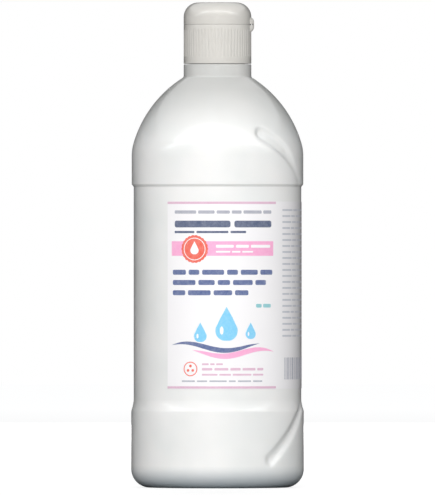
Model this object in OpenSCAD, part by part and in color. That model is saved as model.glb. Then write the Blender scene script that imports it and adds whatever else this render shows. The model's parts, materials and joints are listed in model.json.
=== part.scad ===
// Squeeze bottle for contact lens solution. A blow-moulded bottle with a recessed label
// panel and diagonal finger grooves carries a neck plug with a hanging care stick, and a
// fluted screw closure with a hinged flip-top lid. Millimetres, +Z up. The origin is on
// the standing plane under the bottle's axis, the front of the label faces -Y and the
// lid's hinge is on the +X side.

/* [Bottle] */
// Radius of the bottom band, the widest part
low_r = 34.7; // [34:0.1:36]
// Radius of the band above the label
band_r = 34.5; // [34:0.1:34.9]
// Radius of the recessed label panel
panel_r = 33.7; // [33.2:0.1:33.8]
// Height where the bottom band ends and the flare down to the panel starts
low_top = 30.4; // [28:0.2:32]
// Height of the lower end of the label panel
panel_bot = 34.4; // [34:0.1:35]
// Height of the upper end of the label panel
panel_top = 121; // [119:0.5:121]
// Height of the lower edge of the band above the label
band_bot = 121.8; // [121.4:0.1:122.2]
// Radius of the rounded bottom edge
corner_r = 7.5; // [6:0.5:8]
// Height of the push-up in the middle of the base
push_up_h = 3.5; // [3:0.5:4]
// Radius of the arc that draws the shoulder
shoulder_r = 46.6; // [46.2:0.1:47]
// Height of the centre of the shoulder arc
shoulder_z = 125.4; // [125:0.1:125.8]
// Wall thickness of the blow-moulded body
wall = 0.9; // [0.7:0.1:1.1]

/* [Neck] */
// Radius of the collar under the closure
collar_r = 13.6; // [13.4:0.1:13.8]
// Height of the collar's upper face
collar_top = 169.9; // [169.5:0.1:170]
// Radius of the neck finish that the closure goes over
neck_r = 10.8; // [10.5:0.1:11]
// Radius of the bore of the neck
neck_bore_r = 8.7; // [8.2:0.1:8.8]
// Height of the sealing land at the top of the neck
neck_top = 183.6; // [183.4:0.1:183.7]

/* [Finger grooves] */
// Width of a groove at the bottle's surface
groove_w = 5.5; // [4.5:0.1:6]
// Depth of a groove
groove_d = 1; // [0.7:0.1:1.1]

/* [Neck plug and stick] */
// Thickness of the plug's sleeve
plug_wall = 0.9; // [0.8:0.1:1.2]
// Radius of the stick
stick_r = 2.5; // [2:0.1:2.6]
// Length of the stick under the plug's floor
stick_len = 140; // [110:5:150]
// Number of flow windows in the plug's floor
window_n = 4; // [3:1:5]

/* [Closure] */
// Radius of the closure and its lid
cap_r = 13.6; // [13.5:0.1:13.8]
// Height of the lower edge of the closure's skirt
skirt_bot = 170.4; // [170.3:0.1:170.6]
// Height of the line where the lid meets the closure
split_z = 186.08; // [186:0.01:186.2]
// Height of the top of the lid
lid_top = 195; // [194:0.5:196]
// Radius of the lid's rounded top edge
lid_round_r = 5.5; // [4:0.5:6]
// Wall thickness of the lid
lid_wall = 1.1; // [1:0.1:1.2]
// Number of grip flutes round the skirt
flute_n = 60; // [48:6:72]
// Depth of a grip flute
flute_d = 0.25; // [0.15:0.05:0.3]
// Radius of the pouring orifice
orifice_r = 1.5; // [1.4:0.1:1.8]

/* [Hinge] */
// How far the hinge stands out from the skirt
hinge_out = 1.2; // [1.1:0.1:1.4]
// Length of the hinge along its axis
hinge_len = 10; // [8:1:12]

/* [Label] */
// Height of the lower edge of the label
label_bot = 39.9; // [38:0.1:42]
// Height of the label
label_h = 75; // [70:1:78]
// Thickness of the label film
label_t = 0.12; // [0.1:0.01:0.2]
// Angle from the middle of the front to the label's left edge
label_left = 40.7; // [38:0.1:44]
// Angle of the bare window left between the label's two ends
label_gap = 98.6; // [60:0.1:110]

/* [Hidden] */
$fn = 96;
over = 1;                                       // how far a cutter runs past a face

shoulder_x = -10.96;                            // centre of the shoulder arc from the axis
shoulder_top = 165.2;                           // inside the collar
collar_round = 0.4;
neck_fillet = 1;
floor_t = 1.2;                                  // base thickness over the push-up
push_up_r = 23;
push_up_ball = (push_up_r * push_up_r + push_up_h * push_up_h) / (2 * push_up_h);
foot_r = low_r - corner_r;

groove_r = (groove_d * groove_d + groove_w * groove_w / 4) / (2 * groove_d);
groove_lift = groove_r - groove_d;              // groove centreline outside the surface
groove_clear = groove_r + 0.3;                  // where the groove has run out
end_ball = 0.05;                                // how much the end ball exceeds the groove
// Centreline of each groove: [angle from -Y towards +X, distance from the axis, height]
upper_groove = [[28.5, 35.6, 143.3], [51, band_r + groove_lift, 133.3],
                [72, panel_r + groove_clear, 118]];
lower_groove = [[33.3, low_r + groove_lift, 11.5], [56, low_r + groove_lift, 23.5],
                [80, panel_r + groove_clear, 38]];

ring_t = 0.7;                                   // sealing ring and plug flange
flange_t = 0.7;
flange_r = 10.4;
ring_top = neck_top + flange_t + ring_t;
fit_gap = 0.05;
plug_r = neck_bore_r - fit_gap;
plug_bot = 172.6;
plug_floor = 175;
plug_floor_t = 1.2;
window_in = 3.9;
window_out = plug_r - plug_wall - 0.7;
window_a = 240 / window_n;
head_r = 3.4;
head_h = 1.2;
stick_top = plug_floor + plug_floor_t;
stick_end = plug_floor - stick_len;

skirt_in = 12.2;
rim_z = split_z - 0.08;                         // top edge of the skirt
lid_z = split_z + 0.07;                         // bottom edge of the lid
deck_z = rim_z + 0.4;
collar_in = 12.3;                               // raised ring that centres the lid
collar_h = 1;
nozzle_top = 189;
nozzle_r = 3.3;
edge = 0.15;                                    // broken edges on the parting line
flute_r = 0.6;
flute_bot = 172.9;
flute_top = 184.4;
lid_round_z = lid_top - lid_round_r;
lid_round_x = cap_r - lid_round_r;
pin_r = orifice_r - 0.15;
pin_tip_r = orifice_r - 0.65;
pin_bot = nozzle_top - 1.6;

hinge_half = 2.8;                               // half height of the hinge's swelling
hinge_arc = (hinge_half * hinge_half + hinge_out * hinge_out) / (2 * hinge_out);
film_r = 0.25;                                  // thin web on which the lid bends
axis_x = cap_r + hinge_out - film_r;
lug_x = axis_x - 0.05;
lug_in = 13;

// ---------------------------------------------------------------- helpers

function on_bottle(p) = [p[1] * sin(p[0]), -p[1] * cos(p[0]), p[2]];

// Centre of the circle through three points
function arc_centre(a, b, c) =
    let (ab = b - a, ac = c - a, n = cross(ab, ac))
    a + (cross(n, ab) * (ac * ac) + cross(ac, n) * (ab * ab)) / (2 * (n * n));

// Tube round the arc through three points, with a ball at its first end
module arc_tube(points, r) {
    a = on_bottle(points[0]);
    b = on_bottle(points[1]);
    c = on_bottle(points[2]);
    o = arc_centre(a, b, c);
    big_r = norm(a - o);
    ex = (a - o) / big_r;
    n = cross(b - a, c - a);
    ez = n / norm(n);
    ey = cross(ez, ex);
    sweep = atan2((c - o) * ey, (c - o) * ex);
    multmatrix([[ex[0], ey[0], ez[0], o[0]],
                [ex[1], ey[1], ez[1], o[1]],
                [ex[2], ey[2], ez[2], o[2]]]) {
        rotate_extrude(angle = sweep) translate([big_r, 0]) circle(r = r);
        translate([big_r, 0, 0]) sphere(r = r + end_ball);
    }
}

// The two diagonal grooves, and the same pair on the far side
module grooves(extra) {
    for (turn = [0, 180]) rotate([0, 0, turn]) {
        arc_tube(upper_groove, groove_r + extra);
        arc_tube(lower_groove, groove_r + extra);
    }
}

// Half section of the body, drawn inset from the outer surface
module body_section(inset) {
    polygon([[0, inset], [foot_r, inset], [low_r - inset, corner_r], [low_r - inset, low_top],
             [panel_r - inset, panel_bot], [panel_r - inset, panel_top],
             [band_r - inset, band_bot], [band_r - inset, shoulder_z], [0, shoulder_z]]);
    translate([foot_r, corner_r]) circle(r = corner_r - inset);
    intersection() {
        translate([shoulder_x, shoulder_z]) circle(r = shoulder_r - inset);
        translate([0, shoulder_z - over])
            square([band_r - inset, shoulder_top + inset + over - shoulder_z]);
    }
}

module collar_section() {
    fillet_z = shoulder_z + sqrt(pow(shoulder_r + neck_fillet, 2)
                                 - pow(collar_r + neck_fillet - shoulder_x, 2));
    polygon([[0, shoulder_z], [collar_r, shoulder_z],
             [collar_r, collar_top - collar_round], [collar_r - collar_round, collar_top],
             [neck_r, collar_top], [neck_r, neck_top - collar_round],
             [neck_r - collar_round, neck_top], [0, neck_top]]);
    difference() {
        translate([collar_r - over, fillet_z - neck_fillet * 2])
            square([over + neck_fillet * 0.9, neck_fillet * 2]);
        translate([collar_r + neck_fillet, fillet_z]) circle(r = neck_fillet);
    }
}

// Part of a lid outline above the height where its round edge starts
module dome_section(r, round_r, low, top) {
    translate([0, low]) square([r, lid_round_z - low]);
    polygon([[0, lid_round_z], [lid_round_x + round_r, lid_round_z], [lid_round_x, top], [0, top]]);
    intersection() {
        translate([lid_round_x, lid_round_z]) circle(r = round_r);
        translate([0, lid_round_z]) square([r, round_r]);
    }
}

// Slice of the hinge's swelling between two heights, clear of the hollow closure
module hinge_lug(low, high) {
    difference() {
        rotate([90, 0, 0]) linear_extrude(height = hinge_len, center = true)
            intersection() {
                translate([cap_r + hinge_out - hinge_arc, split_z]) circle(r = hinge_arc);
                translate([0, low]) square([lug_x, high - low]);
            }
        translate([0, 0, low - over]) cylinder(r = lug_in, h = high - low + 2 * over);
    }
}

// ---------------------------------------------------------------- pieces

module bottle() {
    color("#f3f2ef") difference() {
        rotate_extrude() difference() {
            union() {
                body_section(0);
                collar_section();
            }
            translate([0, push_up_h - push_up_ball]) circle(r = push_up_ball);
        }
        grooves(0);
        difference() {
            rotate_extrude() {
                difference() {
                    body_section(wall);
                    translate([0, push_up_h - push_up_ball]) circle(r = push_up_ball + floor_t);
                }
                translate([0, shoulder_z]) square([neck_bore_r, neck_top + over - shoulder_z]);
            }
            grooves(wall);
        }
    }
}

module neck_plug() {
    color("#f7f7f2") difference() {
        rotate_extrude()
            polygon([[stick_r + fit_gap, plug_floor], [plug_r - plug_wall, plug_floor],
                     [plug_r - plug_wall, plug_bot], [plug_r - 0.4, plug_bot],
                     [plug_r, plug_bot + 0.8], [plug_r, neck_top], [flange_r, neck_top],
                     [flange_r, neck_top + flange_t], [plug_r - plug_wall, neck_top + flange_t],
                     [plug_r - plug_wall, stick_top], [stick_r + fit_gap, stick_top]]);
        for (i = [0 : window_n - 1])
            rotate([0, 0, i * 360 / window_n]) translate([0, 0, plug_floor - over])
                rotate_extrude(angle = window_a)
                    translate([window_in, 0])
                        square([window_out - window_in, plug_floor_t + 2 * over]);
    }
}

module antibacterial_stick() {
    tip = 1.5;
    color("#dfe8ee") rotate_extrude()
        polygon([[0, stick_end], [stick_r - tip, stick_end], [stick_r, stick_end + tip],
                 [stick_r, stick_top], [head_r, stick_top], [head_r, stick_top + head_h / 2],
                 [stick_r, stick_top + head_h], [0, stick_top + head_h]]);
}

module sealing_ring() {
    ring_in = 4;
    ring_out = skirt_in - 0.3;
    color("#ffffff") difference() {
        translate([0, 0, ring_top - ring_t]) cylinder(r = ring_out, h = ring_t);
        translate([0, 0, ring_top - ring_t - over]) cylinder(r = ring_in, h = ring_t + 2 * over);
    }
}

module closure_base() {
    funnel = 0.6;
    color("#efece6") {
        difference() {
            rotate_extrude()
                polygon([[skirt_in, skirt_bot], [cap_r - edge, skirt_bot],
                         [cap_r, skirt_bot + edge], [cap_r, rim_z - edge], [cap_r - edge, rim_z],
                         [collar_in, rim_z], [collar_in, rim_z + collar_h],
                         [collar_in - 1, rim_z + collar_h], [collar_in - 1.3, deck_z],
                         [nozzle_r + 0.3, deck_z], [nozzle_r - 0.4, nozzle_top - 0.4],
                         [nozzle_r - 0.8, nozzle_top], [orifice_r + 0.3, nozzle_top],
                         [orifice_r, nozzle_top - 0.3], [orifice_r, ring_top + funnel],
                         [orifice_r + 2 * funnel, ring_top], [skirt_in, ring_top]]);
            for (i = [0 : flute_n - 1])
                rotate([0, 0, (i + 0.5) * 360 / flute_n])
                    translate([cap_r + flute_r - flute_d, 0, flute_bot])
                        cylinder(r = flute_r, h = flute_top - flute_bot, $fn = 24);
        }
        hinge_lug(split_z - hinge_half, split_z - film_r);
    }
}

module living_hinge() {
    color("#efece6") {
        translate([axis_x, 0, split_z]) rotate([90, 0, 0])
            cylinder(r = film_r, h = hinge_len, center = true);
        translate([axis_x - film_r - 0.1, -hinge_len / 2, split_z - film_r])
            cube([film_r + 0.1, hinge_len, film_r]);
    }
}

module closure_lid() {
    color("#efece6") {
        difference() {
            rotate_extrude() dome_section(cap_r, lid_round_r, lid_z, lid_top);
            rotate_extrude() dome_section(cap_r - lid_wall, lid_round_r - lid_wall,
                                          lid_z - over, lid_top - lid_wall);
        }
        rotate_extrude()
            polygon([[0, pin_bot], [pin_tip_r, pin_bot], [pin_r, pin_bot + 1],
                     [pin_r, lid_top - lid_wall - 1], [pin_r + 0.6, lid_top - lid_wall + 0.2],
                     [0, lid_top - lid_wall + 0.2]]);
        hinge_lug(split_z + film_r + 0.03, split_z + hinge_half);
    }
}

module wrap_label() {
    color("#fbf8fa") rotate([0, 0, -90 - label_left])
        rotate_extrude(angle = 360 - label_gap)
            translate([panel_r, label_bot]) square([label_t, label_h]);
}

bottle();
neck_plug();
antibacterial_stick();
sealing_ring();
closure_base();
living_hinge();
closure_lid();
wrap_label();
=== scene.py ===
"""Dresses the contact lens solution bottle: a blow-moulded bottle with finger grooves, a screw
closure with a flip-top lid, and a printed film label. Metres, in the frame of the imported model."""
import functools
import json
import math

import bmesh
import bpy
from bpy.props import FloatProperty, FloatVectorProperty, IntProperty, PointerProperty
from mathutils import Matrix, Vector


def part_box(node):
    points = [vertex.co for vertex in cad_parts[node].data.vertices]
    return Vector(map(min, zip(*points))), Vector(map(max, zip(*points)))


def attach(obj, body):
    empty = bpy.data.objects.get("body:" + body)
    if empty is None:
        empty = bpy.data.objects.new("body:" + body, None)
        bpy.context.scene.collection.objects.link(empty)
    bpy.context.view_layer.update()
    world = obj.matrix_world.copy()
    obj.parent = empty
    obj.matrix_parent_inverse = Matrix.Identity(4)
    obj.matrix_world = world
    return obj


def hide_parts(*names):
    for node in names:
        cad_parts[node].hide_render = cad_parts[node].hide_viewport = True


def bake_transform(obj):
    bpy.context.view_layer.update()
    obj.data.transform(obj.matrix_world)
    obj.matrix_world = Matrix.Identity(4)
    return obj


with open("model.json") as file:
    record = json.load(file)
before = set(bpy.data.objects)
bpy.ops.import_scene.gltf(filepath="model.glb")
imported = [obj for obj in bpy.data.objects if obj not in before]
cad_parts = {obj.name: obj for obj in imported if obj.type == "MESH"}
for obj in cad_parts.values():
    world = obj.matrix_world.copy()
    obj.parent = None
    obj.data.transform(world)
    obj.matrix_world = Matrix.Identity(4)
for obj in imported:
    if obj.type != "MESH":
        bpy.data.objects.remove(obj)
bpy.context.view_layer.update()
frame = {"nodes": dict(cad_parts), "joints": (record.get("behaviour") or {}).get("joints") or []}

bl_info = {
    "name": "Lens solution bottle",
    "version": (1, 0, 0),
    "blender": (4, 5, 0),
    "location": "3D View > Sidebar > Bottle",
    "description": "Builds the finished pieces of a contact lens solution bottle round its frame",
    "category": "Object",
}

MM = 0.001
TAU = 2 * math.pi
MERGE = 1e-6


def srgb(code):
    """Turns an sRGB hex colour into the linear colour that a shader socket takes."""
    parts = [int(code[i : i + 2], 16) / 255 for i in (1, 3, 5)]
    return tuple(c / 12.92 if c <= 0.04045 else ((c + 0.055) / 1.055) ** 2.4 for c in parts) + (1.0,)


def length(name, description, millimetres):
    return FloatProperty(name=name, description=description, default=millimetres * MM, unit="LENGTH")


def size(name, description, metres):
    return FloatProperty(name=name, description=description, default=metres, unit="LENGTH")


def angle(name, description, degrees):
    return FloatProperty(
        name=name, description=description, default=math.radians(degrees), subtype="ANGLE"
    )


def colour(name, description, code):
    return FloatVectorProperty(
        name=name, description=description, default=srgb(code), size=4, subtype="COLOR", min=0, max=1
    )


BOTTLE_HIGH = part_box("bottle")[1]
BASE_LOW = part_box("closure_base")[0]
LID_LOW, LID_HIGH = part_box("closure_lid")
LABEL_LOW, LABEL_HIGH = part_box("wrap_label")
HINGE = next(j for j in frame["joints"] if j["name"] == "lid_flip")["pos_m"]
# Gap under and over the hinge line, between the lugs that the film joins
GAP_UNDER, GAP_OVER = 0.25 * MM, 0.28 * MM


# ---- sizes and colours ----


class BottleSizes(bpy.types.PropertyGroup):
    """Sizes of the blow-moulded bottle"""

    low_r: size("Bottom band radius", "Radius of the bottom band, the widest part", BOTTLE_HIGH.y)
    band_r: length("Shoulder band radius", "Radius of the band above the label", 34.5)
    panel_r: length("Panel radius", "Radius of the recessed label panel", 33.7)
    low_top: length("Bottom band top", "Height where the bottom band ends", 30.35)
    lip_r: length("Flare lip", "Radius of the rounded lip of the flare under the panel", 3.0)
    flare_tilt: angle("Flare tilt", "Steepest tilt of the flare, just above its lip", 19)
    flare_toe: angle("Flare toe", "Tilt with which the flare leaves the panel", 5)
    panel_top: length("Panel top", "Height of the upper end of the label panel", 120.9)
    band_bot: length("Shoulder band bottom", "Height of the lower edge of the upper band", 121.9)
    corner_r: length("Bottom corner", "Radius of the rounded bottom edge", 7.5)
    push_up_r: length("Push-up radius", "Radius of the raised middle of the base", 23.0)
    push_up_h: length("Push-up height", "Height of the raised middle of the base", 3.5)
    shoulder_r: length("Shoulder arc", "Radius of the arc that draws the shoulder", 46.6)
    bend_r: length("Shoulder bend", "Radius where the upright band turns into the shoulder", 18.0)
    shoulder_x: length("Shoulder arc offset", "Distance of the arc's centre from the axis", -10.96)
    shoulder_z: length("Shoulder arc height", "Height of the centre of the shoulder arc", 125.4)
    wall: length("Wall", "Wall thickness of the body", 0.9)
    floor_t: length("Base thickness", "Thickness of the base over the push-up", 1.2)
    collar_r: length("Collar radius", "Radius of the collar under the closure", 13.6)
    collar_top: length("Collar top", "Height of the collar's upper face", 169.9)
    land_r: length("Land radius", "Radius of the low land that closes the gap under the skirt", 13.45)
    land_top: length("Land top", "Height of the top of that land", 170.15)
    neck_r: length("Neck radius", "Radius of the neck inside the closure", 10.8)
    bore_r: length("Neck bore", "Radius of the bore of the neck", 8.7)
    neck_top: size("Neck top", "Height of the sealing land", BOTTLE_HIGH.z)
    soft_edge: length("Soft edge", "Rounding that blow moulding leaves on the band edges", 0.35)
    groove_w: length("Groove width", "Width of a finger groove at the surface", 5.5)
    groove_d: length("Groove depth", "Depth of a finger groove", 0.9)
    groove_soft: length("Groove edge", "Softness of a groove's edges", 0.35)
    thread_h: length("Thread height", "How far the thread stands out from the neck", 1.1)
    thread_pitch: length("Thread pitch", "Rise of the thread in one turn", 3.175)


class ClosureSizes(bpy.types.PropertyGroup):
    """Sizes of the screw closure and its lid"""

    cap_r: size("Closure radius", "Radius of the closure and its lid", LID_HIGH.y)
    skirt_in: length("Skirt inside", "Inside radius of the skirt", 12.2)
    skirt_bot: size("Skirt bottom", "Height of the skirt's lower edge", BASE_LOW.z)
    lid_bot: size("Lid bottom", "Height of the lid's lower edge", LID_LOW.z)
    lid_top: size("Lid top", "Height of the top of the lid", LID_HIGH.z)
    lid_round: length("Lid edge", "Radius of the lid's rounded top edge", 5.8)
    lid_wall: length("Lid wall", "Wall thickness of the lid", 1.1)
    edge: length("Broken edge", "Rounding of the edges on the parting line", 0.08)
    flute_n: IntProperty(name="Flutes", description="Number of grip flutes", default=60)
    flute_r: length("Flute radius", "Radius of the tool that cuts a flute", 0.7)
    flute_d: length("Flute depth", "Depth of a grip flute", 0.10)
    flute_bot: length("Flute bottom", "Height of the lower end of the flutes", 172.9)
    flute_top: length("Flute top", "Height of the upper end of the flutes", 184.4)
    nozzle_r: length("Nozzle radius", "Radius of the pouring nozzle at its foot", 3.3)
    nozzle_top: length("Nozzle top", "Height of the pouring nozzle", 189.0)
    orifice_r: length("Orifice", "Radius of the pouring orifice", 1.5)
    ring_top: length("Land", "Height of the land that presses on the sealing ring", 185.0)
    hinge_out: length("Hinge reach", "How far the hinge stands out from the skirt", 1.2)
    hinge_half: length("Hinge half height", "Half the height of the hinge's swelling", 2.8)
    hinge_len: length("Hinge length", "Length of the hinge along its axis", 10.0)
    film_t: length("Hinge film", "Thickness of the film on which the lid bends", 0.3)
    film_len: length("Film length", "Length of that film, between the tapered ends", 6.0)


class LabelSizes(bpy.types.PropertyGroup):
    """Sizes of the wrap label"""

    radius: size("Label radius", "Outer radius of the label", LABEL_HIGH.y)
    low: size("Label bottom", "Height of the label's lower edge", LABEL_LOW.z)
    high: size("Label top", "Height of the label's upper edge", LABEL_HIGH.z)
    film_t: length("Film", "Thickness of the label film", 0.12)
    corner: length("Corner", "Radius of the label's corners", 1.2)
    left: angle("Left edge", "Angle from the front to the label's left edge", 40.7)
    gap: angle("Bare window", "Angle left bare between the label's two ends", 98.6)
    ink_t: length("Ink", "Thickness of a printed layer", 0.02)
    column: length("Column", "Width of the strips in which film and ink bend round the bottle", 1.0)


class Finishes(bpy.types.PropertyGroup):
    """Colours of the pieces"""

    bottle: colour("Bottle", "Bottle over the filled body", "#f4f3f1")
    # The neck colour is painted shade: the wall turns to it towards the neck.
    neck_painted_shade: colour("Bottle neck", "Bottle where the neck holds no liquid", "#d0cfcc")
    closure: colour("Closure", "Closure and lid", "#d6d3cd")
    film: colour("Label film", "White label film", "#fbf9fa")
    navy: colour("Navy ink", "Bars of the text lines and headings, and a wave", "#5a6a98")
    slate: colour("Slate ink", "Bars of the headline", "#55617e")
    pink: colour("Pink ink", "Band and ribbon", "#f7aad2")
    rose: colour("Rose ink", "Fine rules and fine print", "#dcb4ca")
    red: colour("Red ink", "Seal and ring", "#ee6450")
    sky: colour("Light blue ink", "Drops", "#7fcdf2")
    teal: colour("Teal ink", "Small marks", "#8cc9cf")
    grey: colour("Grey ink", "Fine lines of copy and the stripes", "#aeafba")
    mist: colour("Pale grey ink", "Bars of the small print at the side and the back", "#cbccd4")


# ---- modelling helpers ----


def deselect():
    """Leaves edit mode and selects nothing, so that the next operator acts on its own piece."""
    if bpy.context.object and bpy.context.object.mode != "OBJECT":
        bpy.ops.object.mode_set(mode="OBJECT")
    bpy.ops.object.select_all(action="DESELECT")


def activate(piece):
    deselect()
    piece.select_set(True)
    bpy.context.view_layer.objects.active = piece


def added(name):
    """Names the object that an operator has just added."""
    piece = bpy.context.object
    piece.name = piece.data.name = name
    return piece


def edit(piece):
    """Opens a piece in edit mode with everything selected."""
    activate(piece)
    bpy.ops.object.mode_set(mode="EDIT")
    bpy.ops.mesh.select_all(action="SELECT")


def close():
    bpy.ops.object.mode_set(mode="OBJECT")


def pick_rim(piece, test):
    """Selects, in edit mode, the open edges whose middle passes a test."""
    bpy.ops.mesh.select_mode(type="EDGE")
    bpy.ops.mesh.select_all(action="DESELECT")
    mesh = bmesh.from_edit_mesh(piece.data)
    for edge in mesh.edges:
        middle = (edge.verts[0].co + edge.verts[1].co) / 2
        edge.select_set(edge.is_boundary and test(middle))
    mesh.select_flush_mode()
    bmesh.update_edit_mesh(piece.data)


def settle(piece):
    """Puts a piece's place into its mesh and its object at the origin."""
    activate(piece)
    bpy.ops.object.transform_apply(location=True, rotation=True, scale=True)
    return piece


def apply_modifiers(piece):
    activate(piece)
    for modifier in list(piece.modifiers):
        bpy.ops.object.modifier_apply(modifier=modifier.name)


def tidy_mesh(piece):
    """Merges doubles and turns every face outwards."""
    edit(piece)
    bpy.ops.mesh.remove_doubles(threshold=MERGE)
    bpy.ops.mesh.normals_make_consistent(inside=False)
    close()


def smooth(piece, degrees=35):
    activate(piece)
    bpy.ops.object.shade_smooth_by_angle(angle=math.radians(degrees))


def join(name, pieces):
    activate(pieces[0])
    for piece in pieces[1:]:
        piece.select_set(True)
    bpy.ops.object.join()
    return added(name)


def cut(piece, cutter, operation="DIFFERENCE"):
    """Cuts a piece with another, or unites them, and removes the other."""
    modifier = piece.modifiers.new("Cut", "BOOLEAN")
    modifier.operation = operation
    modifier.solver = "EXACT"
    modifier.object = cutter
    apply_modifiers(piece)
    bpy.data.objects.remove(cutter)


def round_edges(piece, width, segments, degrees):
    bevel = piece.modifiers.new("Round", "BEVEL")
    bevel.width = width
    bevel.segments = segments
    bevel.limit_method = "ANGLE"
    bevel.angle_limit = math.radians(degrees)
    apply_modifiers(piece)


def paint(piece, material):
    piece.data.materials.clear()
    piece.data.materials.append(material)


def finish_piece(piece, body, slot, material, *replaced):
    """Gives a finished piece its material and the body it rides on, and hides the parts that it
    replaces.
    """
    paint(piece, material)
    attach(piece, body)
    if replaced:
        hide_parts(*replaced)


# ---- sections ----


def arc(x, z, radius, start, end, steps):
    """Points along an arc, with angles in degrees from +X towards +Z."""
    angles = [math.radians(start + (end - start) * i / steps) for i in range(steps + 1)]
    return [(x + radius * math.cos(a), z + radius * math.sin(a)) for a in angles]


def line(start, end, steps):
    return [
        tuple(s + (e - s) * i / steps for s, e in zip(start, end, strict=True)) for i in range(steps + 1)
    ]


def rounded(points, radius, steps=4):
    """Rounds the inner corners of a run of points with arcs of about one radius."""
    result = [points[0]]
    for before, corner, after in zip(points, points[1:], points[2:]):
        c = Vector(corner)
        a, b = Vector(before) - c, Vector(after) - c
        half = a.angle(b) / 2
        reach = min(radius / math.tan(half), a.length * 0.45, b.length * 0.45)
        p, q = c + a.normalized() * reach, c + b.normalized() * reach
        for i in range(steps + 1):
            t = i / steps
            result.append(tuple((1 - t) ** 2 * p + 2 * t * (1 - t) * c + t * t * q))
    return result + [points[-1]]


def trace(name, points, closed=False):
    """Draws a half section in the XZ plane: a single vertex, extruded from point to point. It stays
    open in edit mode, all of it selected."""
    points = [*points, points[0]] if closed else points
    deselect()
    bpy.ops.mesh.primitive_plane_add(size=MM)
    piece = added(name)
    edit(piece)
    bpy.ops.mesh.merge(type="CENTER")
    bpy.ops.transform.translate(value=(points[0][0], 0, points[0][1]))
    for before, point in zip(points, points[1:]):
        step = (point[0] - before[0], 0, point[1] - before[1])
        if abs(step[0]) + abs(step[2]) > MERGE:
            bpy.ops.mesh.extrude_region_move(TRANSFORM_OT_translate={"value": step})
    bpy.ops.mesh.select_all(action="SELECT")
    bpy.ops.mesh.remove_doubles(threshold=MERGE)
    bpy.ops.mesh.select_all(action="SELECT")
    return piece


def lathe(name, points, sectors, closed=False):
    """Turns a half section round the axis. Each sector is an angle and its number of steps."""
    piece = trace(name, points, closed)
    for angle, steps in sectors:
        bpy.ops.mesh.spin(steps=steps, angle=angle, center=(0, 0, 0), axis=(0, 0, 1))
    close()
    tidy_mesh(piece)
    return piece


# ---- materials ----


# Heights over which painted shade makes the wall darker and greyer towards the neck
NECK_SHADE_HEIGHTS = (0.140, 0.160)
# Height up to which painted shade makes the wall darker and bluer near the floor
BASE_SHADE_TOP = 0.009


def shade(colour_value, factor):
    return tuple(c * factor for c in colour_value[:3]) + (1.0,)


def coat(weight, roughness):
    """The skin that a smooth mould or roll leaves on a plastic."""
    return {"Coat Weight": weight, "Coat Roughness": roughness, "Coat IOR": 1.5}


def scatter(weight, depth_mm, tint=(1.0, 0.9, 0.8)):
    """Light that wanders inside a milky plastic."""
    return {
        "Subsurface Weight": weight,
        "Subsurface Radius": tint,
        "Subsurface Scale": depth_mm * MM,
    }


class ShaderNodes:
    """The nodes of a material or of the world, laid by short calls that give back an output."""

    def __init__(self, owner):
        owner.use_nodes = True
        self.owner = owner
        self.tree = owner.node_tree
        self.tree.nodes.clear()

    @functools.cached_property
    def place(self):
        """Object coordinates."""
        return self.add("TexCoord").outputs["Object"]

    def add(self, kind, inputs=None, **settings):
        """Adds a node with its settings, and sets or links its sockets."""
        node = self.tree.nodes.new("ShaderNode" + kind)
        for key, value in settings.items():
            setattr(node, key, value)
        for key, value in (inputs or {}).items():
            if isinstance(value, bpy.types.NodeSocket):
                self.tree.links.new(value, node.inputs[key])
            else:
                node.inputs[key].default_value = value
        return node

    def noise(self, millimetres, detail=3.0, roughness=0.5):
        """Noise whose patches are about that size."""
        inputs = {"Vector": self.place, "Scale": 1 / (millimetres * MM)}
        return self.add("TexNoise", {**inputs, "Detail": detail, "Roughness": roughness}).outputs["Fac"]

    def cells(self, millimetres):
        """Distance from the nearest of points scattered that far apart."""
        inputs = {"Vector": self.place, "Scale": 1 / (millimetres * MM)}
        return self.add("TexVoronoi", inputs).outputs["Distance"]

    def stretch(self, value, low, high, to_low=0.0, to_high=1.0):
        inputs = {"Value": value, "From Min": low, "From Max": high, "To Min": to_low, "To Max": to_high}
        return self.add("MapRange", inputs).outputs["Result"]

    def patches(self, millimetres, low=0.0, high=1.0, detail=3.0):
        """Soft patches of about that size, from one value to another."""
        return self.stretch(self.noise(millimetres, detail), 0.3, 0.7, low, high)

    def mix(self, factor, first, second, blend="MIX"):
        inputs = {0: factor, 6: first, 7: second}
        return self.add("Mix", inputs, data_type="RGBA", blend_type=blend).outputs[2]

    def bump(self, height, depth_mm, under=None):
        """A relief of that depth, laid over another one where there is one."""
        inputs = {"Height": height, "Distance": depth_mm * MM, "Strength": 1.0}
        if under is not None:
            inputs["Normal"] = under
        return self.add("Bump", inputs).outputs["Normal"]

    def end(self, surface, kind="OutputMaterial"):
        self.add(kind, {"Surface": surface})
        return self.owner

    def plastic(self, inputs):
        """Ends a material in a principled shader, and gives the material back."""
        return self.end(self.add("BsdfPrincipled", inputs).outputs["BSDF"])


def new_material(name):
    return ShaderNodes(bpy.data.materials.new(name))


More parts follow.
